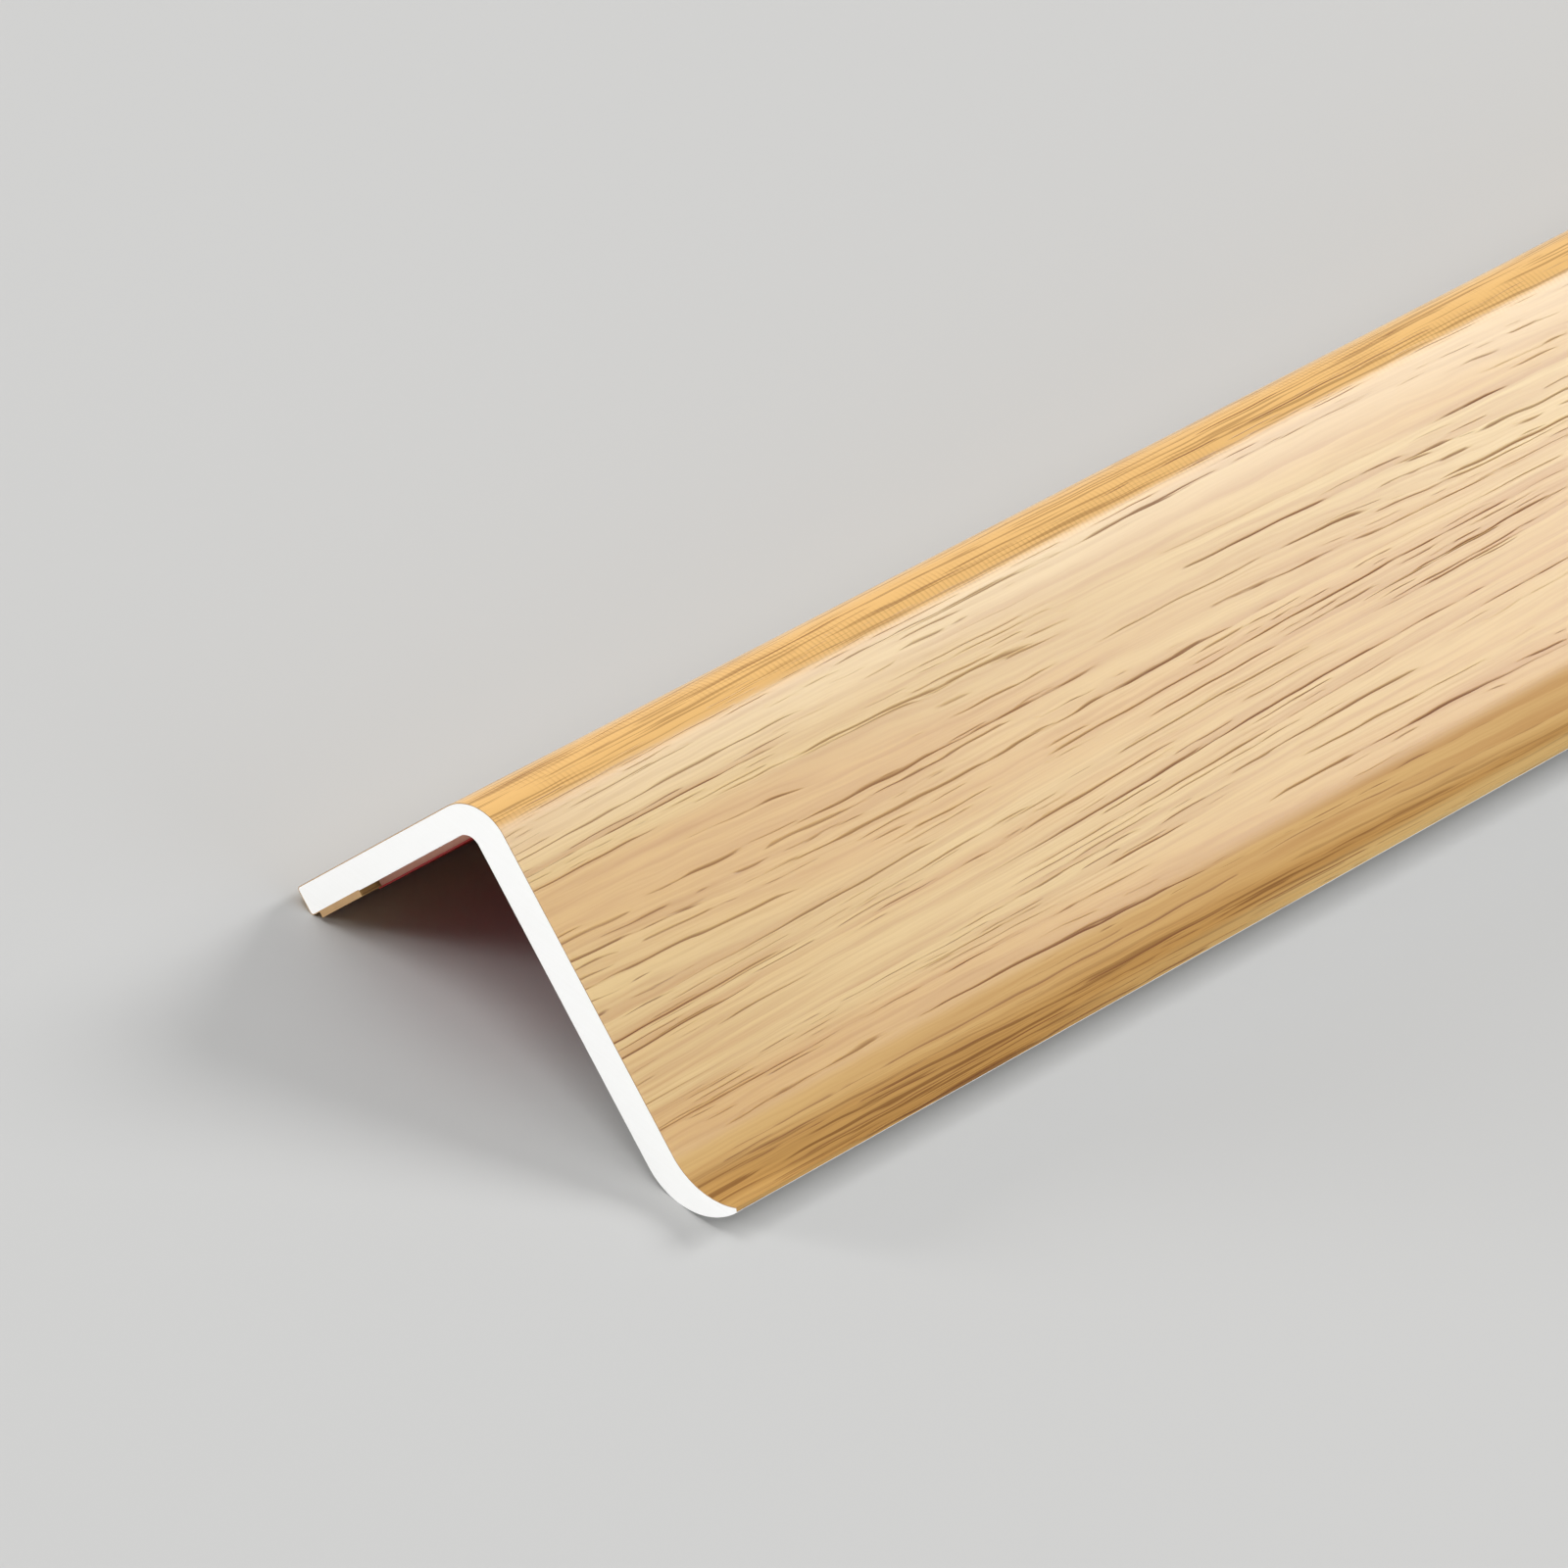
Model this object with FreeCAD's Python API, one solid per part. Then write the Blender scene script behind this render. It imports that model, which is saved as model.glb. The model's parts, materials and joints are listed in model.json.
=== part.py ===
# Corner guard moulding: one extruded length of rigid PVC, L-shaped in section, with a lip curled out along one edge
# and a strip of double-sided mounting tape stuck along the inside of each leg
import FreeCAD, Part
import math
import os

# Driving dimensions, in millimetres and degrees
length = 1000.0        # stock length, sawn square at both ends
short_wall = 2.0       # thickness of the short leg
long_wall = 2.4        # thickness of the long leg
short_leg = 18.8       # outer corner to the edge of the short leg
long_leg = 25.4        # outer corner to where the lip begins to curl
corner_radius = 3.3    # round of the outer corner
inside_radius = 1.1    # round of the inside corner
edge_radius = 0.25     # rounds along the edge of the short leg
lip_radius = 5.2       # hollow, upper side of the lip
lip_turn = 63.0        # how far the lip's upper side turns away from the long leg
lip_edge = 0.3         # thickness left along the lip's edge
hem_thickness = 0.4    # hem of the film, turned in over the inside of the short leg
hem_margin = 0.8       # from the edge of the short leg to the hem
hem_gap = 0.1          # from the hem to the tape
tape_width = 10.0      # strip of mounting tape on each leg
tape_thickness = 0.5   # tape with its liner still on
tape_margin = 0.3      # from the inside round to the tape
tape_end_gap = 1.5     # from each sawn end to the end of the tape

# The section lies in the XZ plane, measured from the sharp outer corner:
# along the long leg, and deep into the angle, which is along the short leg.


def at(along, deep):
    return FreeCAD.Vector(along, 0, -deep)


def arc(along, deep, radius, start, end):
    """Arc about a point of the section, from start to end degrees, turning from along to deep."""

    def on(angle):
        turn = math.radians(angle)
        return at(along + radius * math.cos(turn), deep + radius * math.sin(turn))

    return Part.Arc(on(start), on((start + end) / 2), on(end))


def lines(*points):
    return [Part.LineSegment(a, b) for a, b in zip(points, points[1:])]


# The lip's underside is one arc that leaves the long leg's inner face smoothly and ends at the lip's edge
edge_angle = math.radians(90 - lip_turn)
edge_along = (lip_radius + lip_edge) * math.cos(edge_angle)
edge_rise = long_wall + lip_radius - (lip_radius + lip_edge) * math.sin(edge_angle)
under_radius = (edge_along**2 + edge_rise**2) / (2 * edge_rise)
under_turn = math.degrees(math.atan2(edge_along, under_radius - edge_rise))

# Each leg's flat inner face begins where the inside round ends, and the short leg's rounded edge begins at last_round
short_face = long_wall + inside_radius
long_face = short_wall + inside_radius
inner_edge = short_wall - edge_radius
last_round = short_leg - edge_radius


def extrude(curves, end_gap=0.0):
    """One length of the moulding's section, or of a strip on it that stops short of the sawn ends."""
    outline = Part.Wire([curve.toShape() for curve in curves])
    drawn = Part.Face(outline).extrude(FreeCAD.Vector(0, length - 2 * end_gap, 0))
    drawn.translate(FreeCAD.Vector(0, end_gap, 0))
    return drawn


def moulding():
    """Outer corner, short leg with its hem, inside corner, long leg, lip, and back to the outer corner."""
    hem_face = short_wall + hem_thickness
    hem_low = short_leg - hem_margin
    hem_high = short_face + tape_margin + tape_width + hem_gap
    lip_under = arc(long_leg, long_wall - under_radius, under_radius, 90, 90 - under_turn)
    lip_top = arc(long_leg, -lip_radius, lip_radius, 90 - lip_turn, 90)
    return extrude([
        arc(corner_radius, corner_radius, corner_radius, 270, 180),
        *lines(at(0, corner_radius), at(0, last_round)),
        arc(edge_radius, last_round, edge_radius, 180, 90),
        *lines(at(edge_radius, short_leg), at(inner_edge, short_leg)),
        arc(inner_edge, last_round, edge_radius, 90, 0),
        *lines(
            at(short_wall, last_round),
            at(short_wall, hem_low),
            at(hem_face, hem_low),
            at(hem_face, hem_high),
            at(short_wall, hem_high),
            at(short_wall, short_face),
        ),
        arc(long_face, short_face, inside_radius, 180, 270),
        *lines(at(long_face, long_wall), at(long_leg, long_wall)),
        lip_under,
        *lines(lip_under.EndPoint, lip_top.StartPoint),
        lip_top,
        *lines(at(long_leg, 0), at(corner_radius, 0)),
    ])


def tape(face, on_leg):
    """Flat strip on a leg, from where its inner face begins. Its corners are placed by on_leg, down the leg and off it."""
    start = face + tape_margin
    end = start + tape_width
    corners = [on_leg(start, 0), on_leg(end, 0), on_leg(end, tape_thickness), on_leg(start, tape_thickness)]
    return extrude(lines(*corners, corners[0]), tape_end_gap)


def lean():
    """Slope of the long leg as the moulding stands on its two edges.

    The floor is the line that touches both the round of the short leg's inner edge and the lip's underside.
    """
    across = long_leg - inner_edge
    down = last_round - (long_wall - under_radius)
    return math.degrees(math.atan2(down, across) - math.asin((under_radius - edge_radius) / math.hypot(across, down)))


pieces = {
    "corner_guard": moulding(),
    "tape_short_leg": tape(short_face, lambda down_leg, off_leg: at(short_wall + off_leg, down_leg)),
    "tape_long_leg": tape(long_face, lambda down_leg, off_leg: at(down_leg, long_wall + off_leg)),
}

# All the pieces are stood on the floor together, with the moulding's middle over the origin
for piece in pieces.values():
    piece.rotate(FreeCAD.Vector(0, 0, 0), FreeCAD.Vector(0, 1, 0), lean())
box = pieces["corner_guard"].optimalBoundingBox(False, False)
os.makedirs("parts", exist_ok=True)
for name, piece in pieces.items():
    piece.translate(FreeCAD.Vector(-box.Center.x, -box.Center.y, -box.ZMin))
    piece.exportStep(f"parts/{name}.step")
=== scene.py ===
"""Corner guard moulding: white PVC under a printed oak film, lined with mounting tape, on a pale floor."""
import json
import math

import bmesh
import bpy
from mathutils import Matrix, Quaternion, Vector


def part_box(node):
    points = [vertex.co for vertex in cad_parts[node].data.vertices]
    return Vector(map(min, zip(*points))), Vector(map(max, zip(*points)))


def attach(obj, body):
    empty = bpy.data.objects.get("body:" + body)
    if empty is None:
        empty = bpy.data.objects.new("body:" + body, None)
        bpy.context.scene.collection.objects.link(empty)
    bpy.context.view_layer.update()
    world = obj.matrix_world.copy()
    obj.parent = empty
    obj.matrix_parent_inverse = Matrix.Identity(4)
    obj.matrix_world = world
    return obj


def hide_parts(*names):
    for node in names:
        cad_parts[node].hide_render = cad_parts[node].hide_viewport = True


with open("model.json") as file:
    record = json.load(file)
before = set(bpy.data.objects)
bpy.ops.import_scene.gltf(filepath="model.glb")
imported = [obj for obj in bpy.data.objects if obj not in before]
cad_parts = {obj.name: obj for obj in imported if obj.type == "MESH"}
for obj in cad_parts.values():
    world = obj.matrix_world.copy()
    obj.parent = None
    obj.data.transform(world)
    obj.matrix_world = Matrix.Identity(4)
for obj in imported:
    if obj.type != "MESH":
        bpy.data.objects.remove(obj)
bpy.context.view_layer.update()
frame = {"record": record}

# Moulding: one length of rigid white PVC, extruded as an L with a lip curled out along one edge.
# An oak film is laminated over the outside and hemmed on the inside of the short leg.
# Both ends are sawn square, and show the white PVC.
MM = 0.001
short_wall = 2.0 * MM
long_wall = 2.4 * MM
short_leg = 18.8 * MM
long_leg = 25.4 * MM
corner_radius = 3.3 * MM
inside_radius = 1.1 * MM
edge_radius = 0.25 * MM
lip_radius = 5.2 * MM
lip_turn = math.radians(63)
lip_edge = 0.3 * MM
film_thickness = 0.06 * MM
film_share_of_lip_edge = 0.9
hem_thickness = 0.4 * MM
hem_margin = 0.8 * MM
hem_gap = 0.1 * MM
tape_width = 10.0 * MM
tape_margin = 0.3 * MM
QUARTER = math.radians(90)

# The lip's underside is one arc from the long leg's inner face to the lip's edge
edge_along = (lip_radius + lip_edge) * math.sin(lip_turn)
edge_rise = long_wall + lip_radius - (lip_radius + lip_edge) * math.cos(lip_turn)
under_radius = (edge_along**2 + edge_rise**2) / (2 * edge_rise)
under_turn = math.atan2(edge_along, under_radius - edge_rise)

short_face_start = long_wall + inside_radius
long_face_start = short_wall + inside_radius
inner_edge = short_wall - edge_radius
last_round = short_leg - edge_radius
hem_low = short_leg - hem_margin
hem_high = short_face_start + tape_margin + tape_width + hem_gap
FINE_STEPS = 24
COARSE_STEPS = 6

# Each vertex keeps how far it lies across the film
guard = bmesh.new()
across = guard.verts.layers.float.new("across")
film_map = guard.loops.layers.uv.new("film")


def section_point(along, deep):
    """Point of the near end's section: along the long leg, and deep into the angle, from the outer corner."""
    return Vector((along, 0, -deep))


def corner(along, deep):
    """One corner of the outline, as its first and last vertex."""
    vertex = guard.verts.new(section_point(along, deep))
    return vertex, vertex


def round_off(along, deep, radius, start, end, steps):
    """Spins one vertex about a point of the section, and returns the first and last vertex of the arc."""
    first = guard.verts.new(section_point(along + radius * math.cos(start), deep + radius * math.sin(start)))
    spun = bmesh.ops.spin(
        guard, geom=[first], cent=section_point(along, deep), axis=(0, 1, 0), angle=end - start, steps=steps
    )
    return first, spun["geom_last"][0]


# Outline, walked from the hem over the short leg, the outer corner, the long leg and its lip, and back inside
hem_top = corner(short_wall, hem_high)
hem_foot = corner(short_wall, hem_low)
outer_round = round_off(corner_radius, corner_radius, corner_radius, 2 * QUARTER, 3 * QUARTER, FINE_STEPS)
lip_top = round_off(long_leg, -lip_radius, lip_radius, QUARTER, QUARTER - lip_turn, FINE_STEPS)
film_foot_radius = lip_radius + lip_edge * film_share_of_lip_edge
film_foot = corner(
    long_leg + film_foot_radius * math.sin(lip_turn), film_foot_radius * math.cos(lip_turn) - lip_radius
)
runs = [
    hem_top,
    corner(short_wall + hem_thickness, hem_high),
    corner(short_wall + hem_thickness, hem_low),
    hem_foot,
    round_off(inner_edge, last_round, edge_radius, 0, QUARTER, COARSE_STEPS),
    round_off(edge_radius, last_round, edge_radius, QUARTER, 2 * QUARTER, COARSE_STEPS),
    outer_round,
    lip_top,
    film_foot,
    round_off(long_leg, long_wall - under_radius, under_radius, QUARTER - under_turn, QUARTER, FINE_STEPS),
    round_off(long_face_start, short_face_start, inside_radius, 3 * QUARTER, 2 * QUARTER, FINE_STEPS),
]
for run, following in zip(runs, runs[1:] + runs[:1]):
    guard.edges.new((run[1], following[0]))

# The walk along the outline gives each vertex its place across the film, from the middle of the outer corner
walked = hem_top[0]
edge = next(e for e in walked.link_edges if e.other_vert(walked) == runs[1][0])
while edge.other_vert(walked) != hem_top[0]:
    following = edge.other_vert(walked)
    following[across] = walked[across] + edge.calc_length()
    walked = following
    edge = next(e for e in walked.link_edges if e != edge)
corner_middle = (outer_round[0][across] + outer_round[1][across]) / 2
for vertex in guard.verts:
    vertex[across] -= corner_middle
film_start, film_stop = hem_top[0][across], film_foot[0][across]

# The outline becomes the near end, with the hem's own end parted from it, and its copy the far end.
# The sides are bridged between the two.
bmesh.ops.contextual_create(guard, geom=guard.edges[:])
bmesh.ops.connect_verts(guard, verts=[hem_top[0], hem_foot[0]])
cad_low, cad_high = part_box("corner_guard")
stock_length = cad_high.y - cad_low.y
near_end = guard.verts[:] + guard.edges[:] + guard.faces[:]
far_end = bmesh.ops.duplicate(guard, geom=near_end)["geom"]
far_verts = [item for item in far_end if isinstance(item, bmesh.types.BMVert)]
bmesh.ops.translate(guard, verts=far_verts, vec=(0, stock_length, 0))
bmesh.ops.bridge_loops(guard, edges=[edge for edge in guard.edges if edge.is_boundary])

# It leans as the long leg's tape face does in the record, and stands where the solid stands
tape_face = next(m for m in frame["record"]["mounts"] if m["name"] == "long_leg_tape_face")
lean = Matrix.Rotation(math.atan2(-tape_face["axis"][0], -tape_face["axis"][2]), 3, "Y")
bmesh.ops.rotate(guard, verts=guard.verts[:], cent=(0, 0, 0), matrix=lean)
low_x = min(vertex.co.x for vertex in guard.verts)
low_z = min(vertex.co.z for vertex in guard.verts)
stand = Vector((cad_low.x - low_x, cad_low.y, cad_low.z - low_z))
bmesh.ops.translate(guard, verts=guard.verts[:], vec=stand)
bmesh.ops.recalc_face_normals(guard, faces=guard.faces[:])

# A narrow rim round both ends is parted off, which is the film's cut edge along the outside
FACES_END = 0.5
ends = [face for face in guard.faces if abs(face.normal.y) > FACES_END]
bmesh.ops.inset_individual(guard, faces=ends, thickness=film_thickness, use_even_offset=True)

# Film on the faces between its two edges, bare PVC on the ends and inside
FILM, FILM_EDGE, PVC = 0, 1, 2
SLACK = 0.001 * MM
for face in guard.faces:
    places = [loop.vert[across] for loop in face.loops]
    face.material_index = PVC
    if min(places) > film_start - SLACK and max(places) < film_stop + SLACK:
        face.material_index = FILM_EDGE if abs(face.normal.y) > FACES_END else FILM
    face.smooth = True
    for loop in face.loops:
        loop[film_map].uv = (loop.vert[across], loop.vert.co.y)

SHARP_TURN = math.radians(35)


def finished_piece(name, mesh, materials):
    """Makes the object of a finished bmesh, with its edges sharp past the sharp turn."""
    data = bpy.data.meshes.new(name)
    mesh.to_mesh(data)
    mesh.free()
    data.set_sharp_from_angle(angle=SHARP_TURN)
    for material in materials:
        data.materials.append(material)
    piece = bpy.data.objects.new(name, data)
    bpy.context.scene.collection.objects.link(piece)
    return piece


def linear(hex_colour):
    """Turns an sRGB hex colour into the linear one that a socket takes."""
    shares = [int(hex_colour[i:i + 2], 16) / 255 for i in (1, 3, 5)]
    return [s / 12.92 if s <= 0.04045 else ((s + 0.055) / 1.055) ** 2.4 for s in shares] + [1]


def add(tree, kind, inputs, **settings):
    """Adds one node with its settings. Each input is a value, or the output that it is linked from."""
    made = tree.nodes.new(kind)
    for name, value in settings.items():
        setattr(made, name, value)
    for name, value in inputs.items():
        if isinstance(value, bpy.types.NodeSocket):
            tree.links.new(value, made.inputs[name])
        else:
            made.inputs[name].default_value = value
    return made


def new_material(name):
    """A new material, with its node tree and its shader."""
    material = bpy.data.materials.new(name)
    material.use_nodes = True
    return material, material.node_tree, material.node_tree.nodes["Principled BSDF"]


# Oak film: a printed and embossed PVC foil. It shows straw-coloured wood whose growth rings darken to a thin
# brown line and start pale again, finer lines in groups, and a satin lacquer that pales under a light.
oak_film, oak, oak_shader = new_material("oak_film")
STRAW = linear("#D7B77A")
HONEY = linear("#D0A768")
LATE_WOOD = linear("#B5844B")
GOLD = linear("#F2BE70")
PALE_HIGHLIGHT = linear("#EED6B2")
LINE = linear("#703A1A")
FOOT_BROWN = linear("#BD8F4D")
FOOT_STREAK = linear("#744618")
uv = add(oak, "ShaderNodeUVMap", {}, uv_map="film").outputs["UV"]
film_place = add(oak, "ShaderNodeSeparateXYZ", {"Vector": uv})
across_film, along_film = film_place.outputs["X"], film_place.outputs["Y"]


def mark_level(where, width, length, detail, low, high, seed):
    """Marks of a width and length along the grain, as a level that fades from 0 at low to 1 at high."""
    spot = add(oak, "ShaderNodeVectorMath", {0: where, 1: (1 / width, 1 / length, 0), 2: (seed, seed, 0)},
               operation="MULTIPLY_ADD")
    noise = add(oak, "ShaderNodeTexNoise", {"Vector": spot.outputs["Vector"], "Scale": 1, "Detail": detail},
                noise_dimensions="2D")
    return add(oak, "ShaderNodeMapRange", {"Value": noise.outputs["Fac"], "From Min": low, "From Max": high},
               interpolation_type="SMOOTHSTEP").outputs["Result"]


# The grain wanders sideways in waves of this width, length, reach and seed
wander = across_film
for width, wave_length, reach, seed in (
    (9 * MM, 150 * MM, 2.6 * MM, 3),
    (3 * MM, 50 * MM, 0.8 * MM, 8),
    (0.6 * MM, 4 * MM, 0.10 * MM, 6),
):
    wave = mark_level(uv, width, wave_length, 0, 0, 1, seed)
    wander = add(
        oak, "ShaderNodeMath", {0: wave, 1: reach, 2: wander}, operation="MULTIPLY_ADD"
    ).outputs["Value"]
grain = add(oak, "ShaderNodeCombineXYZ", {"X": wander, "Y": along_film}).outputs["Vector"]

# Marks along the grain: their width and length, detail, the levels they fade between, and a seed
board = mark_level(grain, 6 * MM, 140 * MM, 2, 0.35, 0.65, 21)
band = mark_level(grain, 1.8 * MM, 60 * MM, 2, 0.46, 0.72, 11)
streak = mark_level(grain, 0.45 * MM, 24 * MM, 4, 0.46, 0.72, 13)
fibre = mark_level(grain, 0.15 * MM, 12 * MM, 2, 0.35, 0.72, 2)
ring_fade = mark_level(grain, 2.4 * MM, 44 * MM, 2, 0.40, 0.66, 5)
line_fade = mark_level(grain, 1.1 * MM, 14 * MM, 3, 0.42, 0.57, 9)
line_group = mark_level(grain, 5 * MM, 70 * MM, 1, 0.32, 0.52, 33)
fine_fade = mark_level(grain, 0.36 * MM, 7 * MM, 2, 0.46, 0.62, 17)
fine_group = mark_level(grain, 3 * MM, 45 * MM, 1, 0.40, 0.56, 7)
foot_streak = mark_level(grain, 0.28 * MM, 18 * MM, 3, 0.52, 0.62, 23)
rim_patch = mark_level(uv, 12 * MM, 70 * MM, 1, 0.30, 0.58, 41)
tick_patch = mark_level(uv, 2.5 * MM, 16 * MM, 2, 0.44, 0.62, 31)


def ring_level(where, ring_width, low, high, width=None):
    """Rises across each ring from low to high, and drops at its end. A width below 1 narrows the rise."""
    rings = add(oak, "ShaderNodeMath", {0: where, 1: 1 / ring_width}, operation="MULTIPLY").outputs["Value"]
    ring = add(oak, "ShaderNodeMath", {0: rings}, operation="FRACT").outputs["Value"]
    if width:
        short = add(oak, "ShaderNodeMath", {0: width, 1: 1}, operation="SUBTRACT").outputs["Value"]
        ring = add(
            oak, "ShaderNodeMath", {0: short, 1: 1 - low, 2: ring}, operation="MULTIPLY_ADD"
        ).outputs["Value"]
    return add(oak, "ShaderNodeMapRange", {"Value": ring, "From Min": low, "From Max": high},
               interpolation_type="SMOOTHSTEP").outputs["Result"]


# Rings darken to a thin line that tapers away at its ends, and start pale again, with finer, fainter lines
# between them. Across the outer corner the foil is creased in short ticks, where it was bent round.
ring_width = 1.35 * MM
fine_ring_width = 0.48 * MM
tick_width = 0.45 * MM
faintness = 0.78
line_width = add(oak, "ShaderNodeMath", {0: line_fade, 1: line_group}, operation="MULTIPLY").outputs["Value"]
fine_width = add(oak, "ShaderNodeMath", {0: fine_fade, 1: fine_group}, operation="MULTIPLY").outputs["Value"]
late_ring = ring_level(wander, ring_width, 0.25, 1.0)
line = ring_level(wander, ring_width, 0.87, 0.97, line_width)
fine_line = ring_level(wander, fine_ring_width, 0.74, 0.94, fine_width)
faint_line = add(oak, "ShaderNodeMath", {0: fine_line, 1: faintness}, operation="MULTIPLY").outputs["Value"]
dark = add(oak, "ShaderNodeMath", {0: line, 1: faint_line}, operation="MAXIMUM").outputs["Value"]
tick = ring_level(along_film, tick_width, 0.40, 0.90)

# Zones across the film, which fade in from the first place to the second: the browner foot and lip, partly
# the print and partly painted shade; the lip's paler rim, painted light; the golden outer corner, partly the
# film's own gold and partly painted light; a paler strip beside it, a painted highlight; and the duller lip
corner_reach = corner_radius * QUARTER / 2
lip_start = corner_reach + long_leg - corner_radius
from_corner = add(oak, "ShaderNodeMath", {0: across_film}, operation="ABSOLUTE").outputs["Value"]
foot, lit_lip_rim, on_corner, highlight_by_corner, dull_lip = [
    add(oak, "ShaderNodeMapRange", {"Value": value, "From Min": first, "From Max": second},
        interpolation_type="SMOOTHSTEP").outputs["Result"]
    for value, first, second in (
        (wander, lip_start + 3.6 * MM, lip_start + 5.2 * MM),
        (across_film, film_stop - 2.0 * MM, film_stop - 0.8 * MM),
        (from_corner, corner_reach, corner_reach * 0.5),
        (from_corner, corner_reach + 3.6 * MM, corner_reach + 0.4 * MM),
        (across_film, lip_start - 0.4 * MM, lip_start + 0.9 * MM),
    )
]

# Sockets of a Mix node that mixes two colours
FACTOR, COLOUR_A, COLOUR_B, MIXED = 0, 6, 7, 2

# The print's colours, with the painted light and shade laid in among them, in the order they are laid,
# each with the marks that it follows and its strength
wood = add(
    oak, "ShaderNodeMix", {FACTOR: board, COLOUR_A: STRAW, COLOUR_B: HONEY}, data_type="RGBA"
).outputs[MIXED]
for colour, amount, *limits in (
    (LATE_WOOD, band, 0.22),
    (LATE_WOOD, streak, 0.36),
    (LATE_WOOD, late_ring, ring_fade, 0.56),
    (LATE_WOOD, fibre, 0.22),
    # Painted highlight: a paler strip beside the outer corner
    (PALE_HIGHLIGHT, highlight_by_corner, 0.30),
    # Gold on the outer corner: partly the film's own tone, partly painted light that brightens the corner
    (GOLD, on_corner, 0.74),
    (LATE_WOOD, tick, tick_patch, on_corner, 0.30),
    # Browner foot and lip: partly the print, partly painted shade on the curled lip
    (FOOT_BROWN, foot, 0.90),
    (FOOT_STREAK, foot, foot_streak, 0.68),
    (FOOT_STREAK, foot, fibre, 0.25),
    # Painted light: a paler rim along the edge of the lip
    (STRAW, lit_lip_rim, rim_patch, 0.80),
    (FOOT_STREAK, on_corner, foot_streak, 0.45),
    (LINE, dark, 0.54),
    (LINE, dark, ring_fade, 0.66),
):
    for limit in limits:
        amount = add(oak, "ShaderNodeMath", {0: amount, 1: limit}, operation="MULTIPLY").outputs["Value"]
    wood = add(
        oak, "ShaderNodeMix", {FACTOR: amount, COLOUR_A: wood, COLOUR_B: colour}, data_type="RGBA"
    ).outputs[MIXED]

# The dark lines are embossed and dull, and so is the lip
relief = add(oak, "ShaderNodeBump", {"Strength": 0.5, "Distance": 0.03 * MM, "Height": dark}, invert=True)
dull = add(oak, "ShaderNodeMath", {0: dull_lip, 1: dark}, operation="MAXIMUM").outputs["Value"]
lacquer = add(oak, "ShaderNodeMapRange", {"Value": dull, "To Min": 0.19, "To Max": 0.65})
oak.links.new(wood, oak_shader.inputs["Base Color"])
oak.links.new(lacquer.outputs["Result"], oak_shader.inputs["Roughness"])
oak.links.new(relief.outputs["Normal"], oak_shader.inputs["Normal"])
oak_shader.inputs["IOR"].default_value = 1.53
oak_shader.inputs["Specular IOR Level"].default_value = 0.20


def mottle(tree, shader, mark_size, first, second, slant=0):
    """Colours a shader in soft marks of a size between two colours, and returns the level of the marks."""
    place = add(tree, "ShaderNodeTexCoord", {}).outputs["Object"]
    scale = [1 / size for size in mark_size]
    spot = add(tree, "ShaderNodeMapping", {"Vector": place, "Rotation": (0, slant, 0), "Scale": scale})
    noise = add(tree, "ShaderNodeTexNoise", {"Vector": spot.outputs["Vector"], "Scale": 1, "Detail": 2})
    level = noise.outputs["Fac"]
    tone = add(
        tree, "ShaderNodeMix", {FACTOR: level, COLOUR_A: linear(first), COLOUR_B: linear(second)},
        data_type="RGBA",
    )
    tree.links.new(tone.outputs[MIXED], shader.inputs["Base Color"])
    return level


# Rigid PVC, filled white: evenly matt, with faint marks of the saw across its ends
white_pvc, pvc, pvc_shader = new_material("white_pvc")
saw_slant = math.radians(25)
saw_mark = mottle(pvc, pvc_shader, (9 * MM, 4 * MM, 0.25 * MM), "#F8F8F6", "#FEFEFD", saw_slant)
saw_relief = add(pvc, "ShaderNodeBump", {"Strength": 0.25, "Distance": 0.02 * MM, "Height": saw_mark})
pvc.links.new(saw_relief.outputs["Normal"], pvc_shader.inputs["Normal"])
pvc_shader.inputs["Roughness"].default_value = 0.5
pvc_shader.inputs["IOR"].default_value = 1.53

# Film's cut edge: the foil's light brown body, sawn through with the PVC, which shows as a thin dull line
film_core, core, core_shader = new_material("film_core")
mottle(core, core_shader, (0.8 * MM, 0.8 * MM, 0.8 * MM), "#A8845A", "#C09B6C")
core_shader.inputs["Roughness"].default_value = 0.55

moulding = finished_piece("oak_moulding", guard, [oak_film, film_core, white_pvc])
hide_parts("corner_guard")
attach(moulding, "root")

# Mounting tape: a strip of pale foam, stuck along the inside of each leg, with its red liner still on.
# The liner is a thin glossy film that stands out past the foam, and is peeled off when the guard is put up.
tape_thickness = 0.5 * MM
liner_thickness = 0.1 * MM
foam_set_back = 0.15 * MM
tape_round = 0.04 * MM
ROUND_STEPS = 3

# Foam with glue on both sides: a dull, pale pink edge with fine cells
tape_foam, foam, foam_shader = new_material("tape_foam")
mottle(foam, foam_shader, (0.3 * MM, 0.3 * MM, 0.3 * MM), "#EDAA90", "#F6C2AC")
foam_shader.inputs["Roughness"].default_value = 0.8

# Polyester release liner: bright red and glossy, with slight waves where it was pressed on
red_liner, liner, liner_shader = new_material("red_liner")
liner_wave = mottle(liner, liner_shader, (6 * MM, 6 * MM, 6 * MM), "#B4140C", "#CC2014")
liner_relief = add(liner, "ShaderNodeBump", {"Strength": 0.2, "Distance": 0.1 * MM, "Height": liner_wave})
liner.links.new(liner_relief.outputs["Normal"], liner_shader.inputs["Normal"])
liner_shader.inputs["Roughness"].default_value = 0.28

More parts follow.
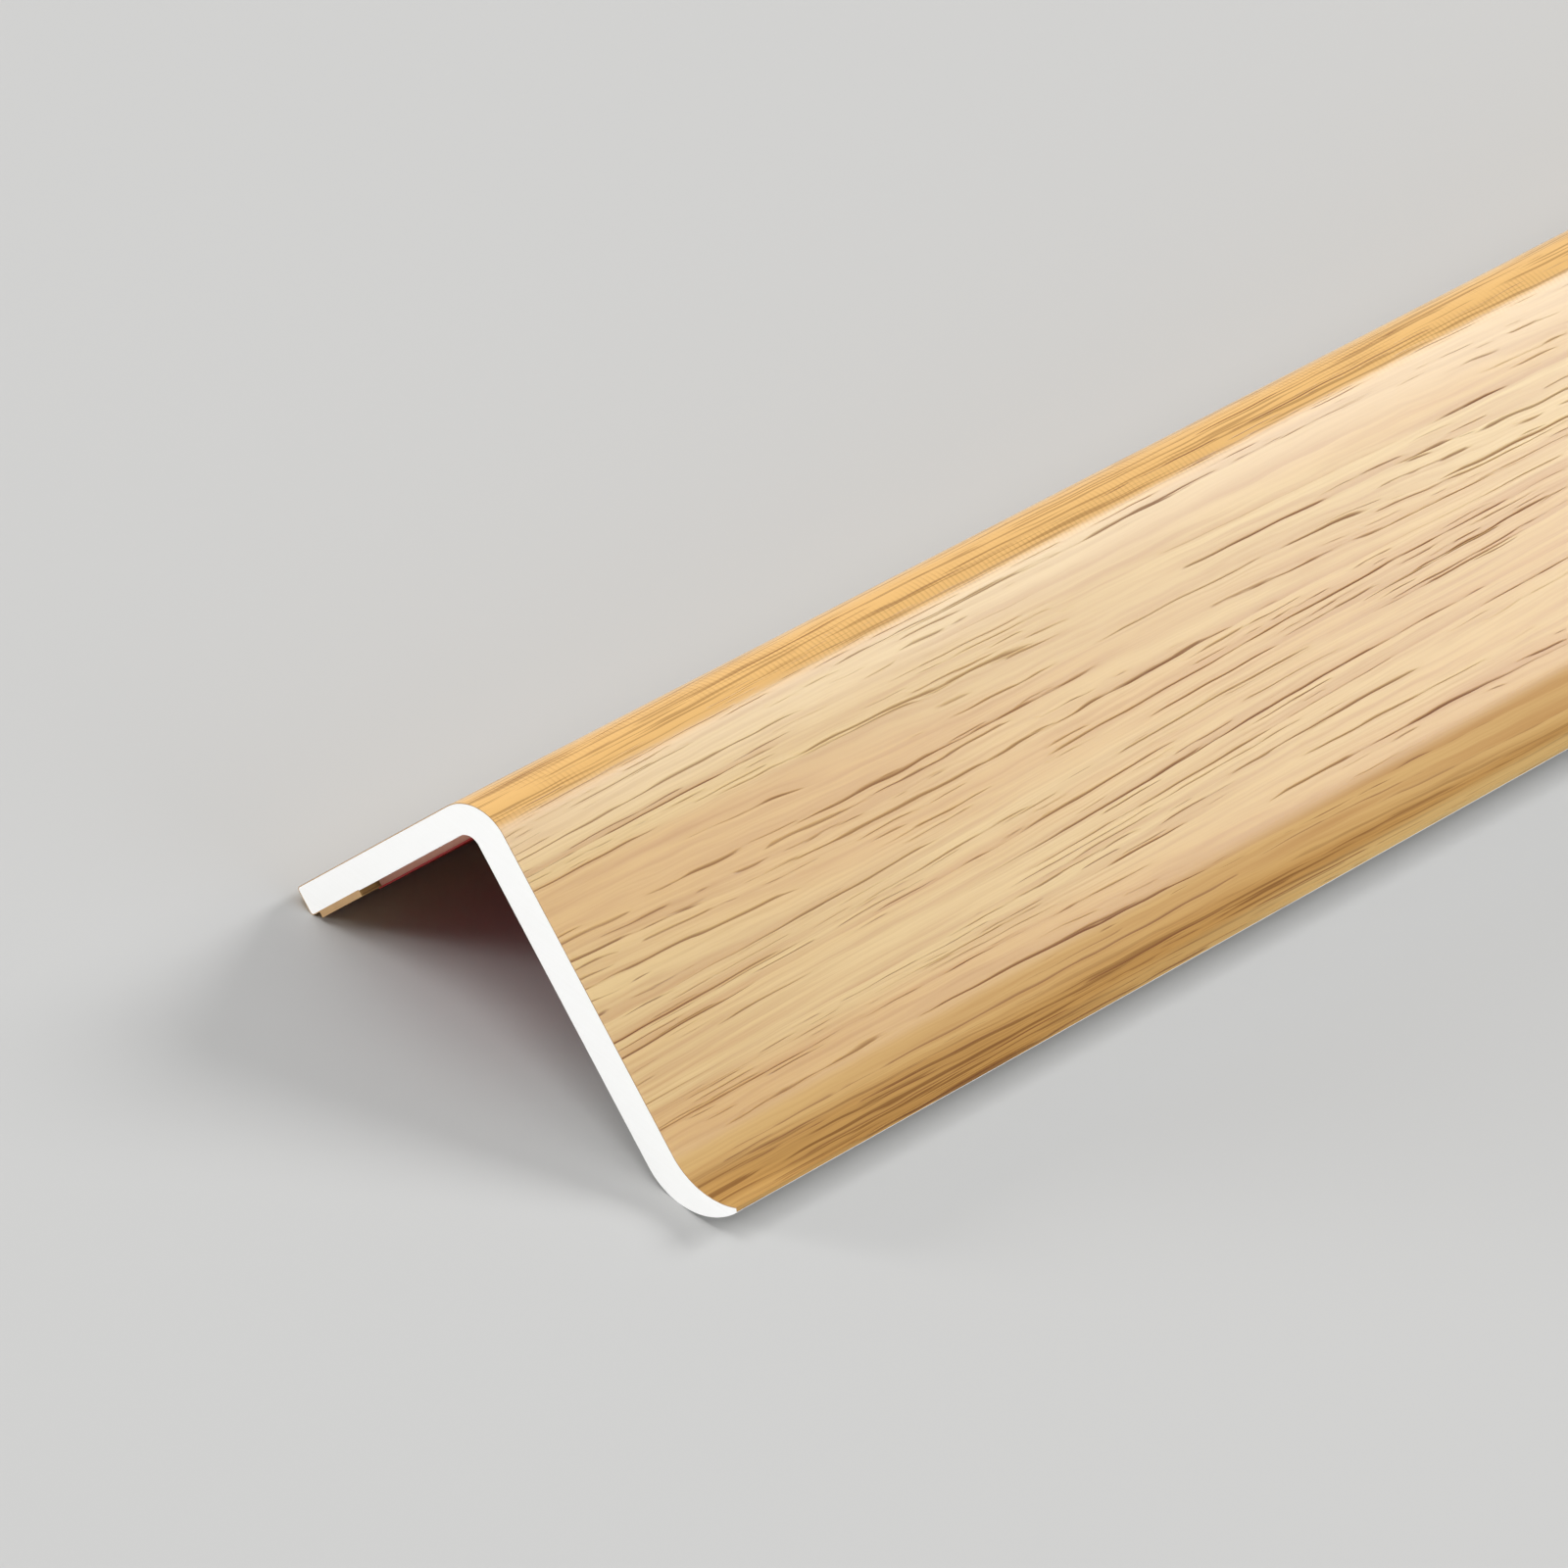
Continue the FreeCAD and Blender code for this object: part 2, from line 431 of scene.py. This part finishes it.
FOAM, LINER = 0, 1
for node, face_start, wall, down_leg, off_leg in (
    ("tape_short_leg", short_face_start, short_wall, Vector((0, 0, -1)), Vector((1, 0, 0))),
    ("tape_long_leg", long_face_start, long_wall, Vector((1, 0, 0)), Vector((0, 0, -1))),
):
    tape_low, tape_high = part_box(node)
    tape_length = tape_high.y - tape_low.y
    strip = bmesh.new()
    for layer, low, high, set_back in (
        (FOAM, 0, tape_thickness - liner_thickness, foam_set_back),
        (LINER, tape_thickness - liner_thickness, tape_thickness, 0),
    ):
        made = bmesh.ops.create_cube(strip, size=1)["verts"]
        width = tape_width - 2 * set_back
        size = Vector((0, tape_length - 2 * set_back, 0)) + down_leg * width + off_leg * (high - low)
        bmesh.ops.scale(strip, verts=made, vec=[abs(extent) for extent in size])
        middle = down_leg * (face_start + tape_margin + tape_width / 2) + off_leg * (wall + (low + high) / 2)
        bmesh.ops.translate(strip, verts=made, vec=middle + Vector((0, stock_length / 2, 0)))
        for side in {side for vertex in made for side in vertex.link_faces}:
            side.material_index = layer
            side.smooth = True
        edges = dict.fromkeys(edge for vertex in made for edge in vertex.link_edges)
        long_edges = [edge for edge in edges if edge.calc_length() > tape_length / 2]
        bmesh.ops.bevel(
            strip, geom=long_edges, offset=tape_round, segments=ROUND_STEPS, profile=0.5,
            affect="EDGES", material=-1,
        )
    bmesh.ops.rotate(strip, verts=strip.verts[:], cent=(0, 0, 0), matrix=lean)
    bmesh.ops.translate(strip, verts=strip.verts[:], vec=stand)
    tape = finished_piece("lined_" + node, strip, [tape_foam, red_liner])
    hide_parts(node)
    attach(tape, "root")

# Floor: a wide sheet of pale grey board, which the moulding stands on.
# It is dull, so it takes the shadows and mirrors nothing.
floor_reach = 30.0
floor_sheet = bmesh.new()
bmesh.ops.create_grid(floor_sheet, x_segments=1, y_segments=1, size=floor_reach)
grey_board, _, floor_shader = new_material("grey_board")
floor_shader.inputs["Base Color"].default_value = linear("#C8C8C7")
floor_shader.inputs["Roughness"].default_value = 0.9
floor_shader.inputs["Specular IOR Level"].default_value = 0.1
floor = finished_piece("floor", floor_sheet, [grey_board])

# Light: a pale room that is dim on the front right, a soft box behind, a lamp almost overhead,
# a low fill from the front left, and a weak lamp on the right that softens the shadow under the lip
ROOM_WHITE = linear("#FFFFFF")
ROOM_GREY = linear("#CECECD")
DIM_SIDE = Vector((0.38, -0.82, 0.42)).normalized()
dim_from, dim_to = 0.5, 0.95
room_strength, dim_strength = 0.52, 0.04
world = bpy.data.worlds.new("pale_room")
world.use_nodes = True
bpy.context.scene.world = world
room = world.node_tree
light_path = add(room, "ShaderNodeLightPath", {})
room_place = add(room, "ShaderNodeTexCoord", {}).outputs["Generated"]
dim = add(
    room, "ShaderNodeVectorMath", {0: room_place, 1: DIM_SIDE}, operation="DOT_PRODUCT"
).outputs["Value"]
room_level = add(
    room, "ShaderNodeMapRange",
    {"Value": dim, "From Min": dim_from, "From Max": dim_to, "To Min": room_strength, "To Max": dim_strength},
    interpolation_type="SMOOTHSTEP",
).outputs["Result"]
room_light = add(room, "ShaderNodeBackground", {"Color": ROOM_WHITE, "Strength": room_level})
room_seen = add(room, "ShaderNodeBackground", {"Color": ROOM_GREY, "Strength": 1})
by_camera = light_path.outputs["Is Camera Ray"]
room_mix = add(
    room, "ShaderNodeMixShader",
    {0: by_camera, 1: room_light.outputs["Background"], 2: room_seen.outputs["Background"]},
)
room.links.new(room_mix.outputs["Shader"], room.nodes["World Output"].inputs["Surface"])

# The lamps and the camera are turned to one point near the near end
aim = Vector((-1.3, -476.6, 12.0)) * MM
lamp_distance = 5.0
for name, towards, size, power in (
    ("soft_box", (0.217, 0.810, 0.545), 2.1, 142),
    ("high_front", (-0.160, -0.360, 0.920), 2.5, 74),
    ("low_fill", (-0.637, -0.759, 0.139), 1.3, 160),
    ("side_light", (0.900, 0.200, 0.390), 3.0, 28),
):
    lamp = bpy.data.lights.new(name, "AREA")
    lamp.shape = "DISK"
    lamp.size = size
    lamp.energy = power
    light = bpy.data.objects.new(name, lamp)
    light.location = aim + Vector(towards).normalized() * lamp_distance
    light.rotation_mode = "QUATERNION"
    light.rotation_quaternion = Vector(towards).to_track_quat("Z", "Y")
    light.visible_camera = False
    bpy.context.scene.collection.objects.link(light)

# Camera: a long lens, high on the right of the near end, rolled
camera_data = bpy.data.cameras.new("camera")
camera_data.sensor_width = 36
camera_data.lens = 320.3
azimuth, elevation, roll = math.radians(29.35), math.radians(36.62), math.radians(18.95)
camera_distance = 870.8 * MM
back = Vector((
    math.sin(azimuth) * math.cos(elevation),
    -math.cos(azimuth) * math.cos(elevation),
    math.sin(elevation),
))
camera = bpy.data.objects.new("camera", camera_data)
camera.location = aim + back * camera_distance
camera.rotation_mode = "QUATERNION"
camera.rotation_quaternion = back.to_track_quat("Z", "Y") @ Quaternion((0, 0, 1), roll)
bpy.context.scene.collection.objects.link(camera)
bpy.context.scene.camera = camera
bpy.context.scene.view_settings.view_transform = "Standard"
